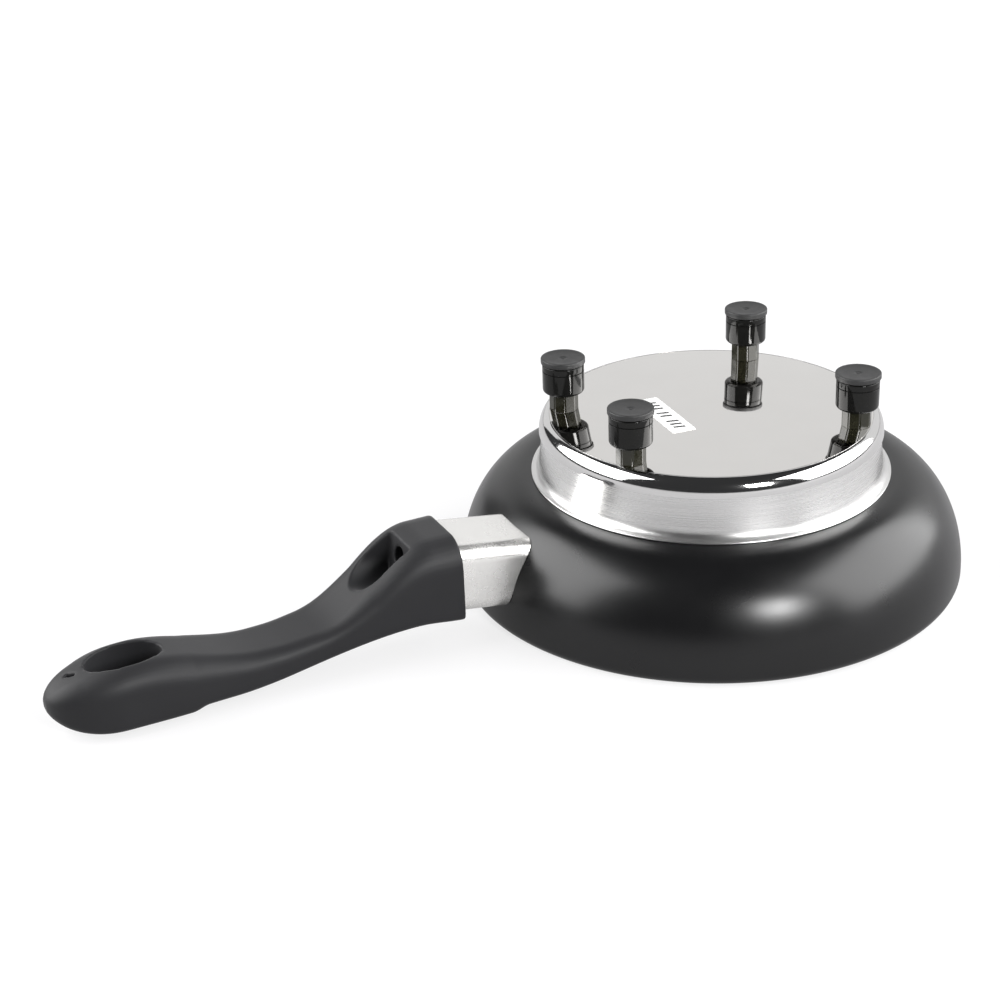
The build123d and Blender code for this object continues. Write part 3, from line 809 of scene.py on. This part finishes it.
make_pan()
make_ring()
make_plate()
make_sticker()
make_sticker_bars()
for foot_number in FOOT_ANGLES:
    make_barrel(foot_number)
    make_stem(foot_number)
    make_cap(foot_number)
make_sleeve()
make_grip()


# floor, backdrop and light
TURN = Matrix.Rotation(math.radians(-25.0), 3, "Z")
FLOOR_HALF = 6.0
NEAR_GLOW = 0.75
FAR_GLOW = 1.0
GLOSS_GLOW = 0.36
WORLD_GLOW = 0.04
LENS = 71.96
PITCH = math.radians(25.54)
ROLL = math.radians(-2.31)
TARGET = Vector((-0.0875, 0.0, 0.0326))
DISTANCE = 0.8346


def make_floor():
    # pale floor that keeps the shadow and turns white further away
    bm = bmesh.new()
    bmesh.ops.create_grid(bm, x_segments=2, y_segments=2, size=FLOOR_HALF)
    mesh = bpy.data.meshes.new("floor")
    bm.to_mesh(mesh)
    bm.free()
    floor = bpy.data.objects.new("floor", mesh)
    bpy.context.scene.collection.objects.link(floor)
    material = bpy.data.materials.new("floor_white")
    material.use_nodes = True
    tree = material.node_tree
    tree.nodes.clear()
    out = add_node(tree, "ShaderNodeOutputMaterial")
    diffuse = add_node(tree, "ShaderNodeBsdfDiffuse", {"Color": (0.215, 0.213, 0.218, 1.0)})
    path = add_node(tree, "ShaderNodeLightPath")
    coord = add_node(tree, "ShaderNodeTexCoord")
    length = add_node(tree, "ShaderNodeVectorMath", {0: coord.outputs["Object"]}, operation="LENGTH")
    glow_there = spread(tree, length.outputs["Value"], 0.5, 1.6, NEAR_GLOW, FAR_GLOW)
    to_camera = maths(tree, "MULTIPLY", path.outputs["Is Camera Ray"], glow_there)
    to_gloss = maths(tree, "MULTIPLY", path.outputs["Is Glossy Ray"], GLOSS_GLOW)
    glow = add_node(tree, "ShaderNodeEmission", {"Color": (1.0, 1.0, 1.0, 1.0),
                                                 "Strength": maths(tree, "ADD", to_camera, to_gloss)})
    both = add_node(tree, "ShaderNodeAddShader")
    tree.links.new(diffuse.outputs[0], both.inputs[0])
    tree.links.new(glow.outputs[0], both.inputs[1])
    tree.links.new(both.outputs[0], out.inputs["Surface"])
    mesh.materials.append(material)


def soft_box(name, centre, aim, width, height, power):
    # a soft box placed in the view's own directions, in metres
    lamp = bpy.data.lights.new(name, "AREA")
    lamp.shape = "RECTANGLE"
    lamp.size = width
    lamp.size_y = height
    lamp.energy = power
    made = bpy.data.objects.new(name, lamp)
    spot = TURN @ Vector(centre)
    goal = TURN @ Vector(aim)
    made.matrix_world = Matrix.Translation(spot) @ (goal - spot).to_track_quat("-Z", "Y").to_matrix().to_4x4()
    bpy.context.scene.collection.objects.link(made)


def make_world():
    # white behind the object, dim all round for its light
    world = bpy.data.worlds.new("studio")
    bpy.context.scene.world = world
    world.use_nodes = True
    tree = world.node_tree
    tree.nodes.clear()
    out = add_node(tree, "ShaderNodeOutputWorld")
    white = add_node(tree, "ShaderNodeBackground", {"Color": (1.0, 1.0, 1.0, 1.0), "Strength": 1.0})
    soft = add_node(tree, "ShaderNodeBackground", {"Color": (0.96, 0.97, 1.0, 1.0), "Strength": WORLD_GLOW})
    path = add_node(tree, "ShaderNodeLightPath")
    pick = add_node(tree, "ShaderNodeMixShader")
    tree.links.new(path.outputs["Is Camera Ray"], pick.inputs[0])
    tree.links.new(soft.outputs[0], pick.inputs[1])
    tree.links.new(white.outputs[0], pick.inputs[2])
    tree.links.new(pick.outputs[0], out.inputs["Surface"])


def make_camera():
    # seen from in front and above, slightly rolled
    lens = bpy.data.cameras.new("camera")
    lens.sensor_width = 36.0
    lens.lens = LENS
    camera = bpy.data.objects.new("camera", lens)
    bpy.context.scene.collection.objects.link(camera)
    forward = Vector((0.0, math.cos(PITCH), -math.sin(PITCH)))
    side = Vector((1.0, 0.0, 0.0))
    upward = side.cross(forward)
    right = side * math.cos(ROLL) + upward * math.sin(ROLL)
    up = upward * math.cos(ROLL) - side * math.sin(ROLL)
    spot = TURN @ (TARGET - forward * DISTANCE)
    axes = Matrix((TURN @ right, TURN @ up, TURN @ -forward)).transposed()
    camera.matrix_world = Matrix.Translation(spot) @ axes.to_4x4()
    bpy.context.scene.camera = camera


make_floor()
make_world()
soft_box("back_panel", centre=(0.45, 1.7, 0.72), aim=(0.0, 0.0, 0.1), width=4.2, height=1.4, power=14.0)
soft_box("left_box", centre=(-1.25, 0.05, 0.78), aim=(0.0, 0.0, 0.03), width=1.7, height=1.3, power=36.0)
soft_box("right_box", centre=(1.25, -0.05, 0.72), aim=(0.0, 0.0, 0.03), width=1.9, height=1.3, power=44.0)
soft_box("key_box", centre=(0.58, -1.22, 0.66), aim=(0.0, 0.0, 0.03), width=0.34, height=0.34, power=15.0)
make_camera()

bpy.context.scene.view_settings.view_transform = "Standard"
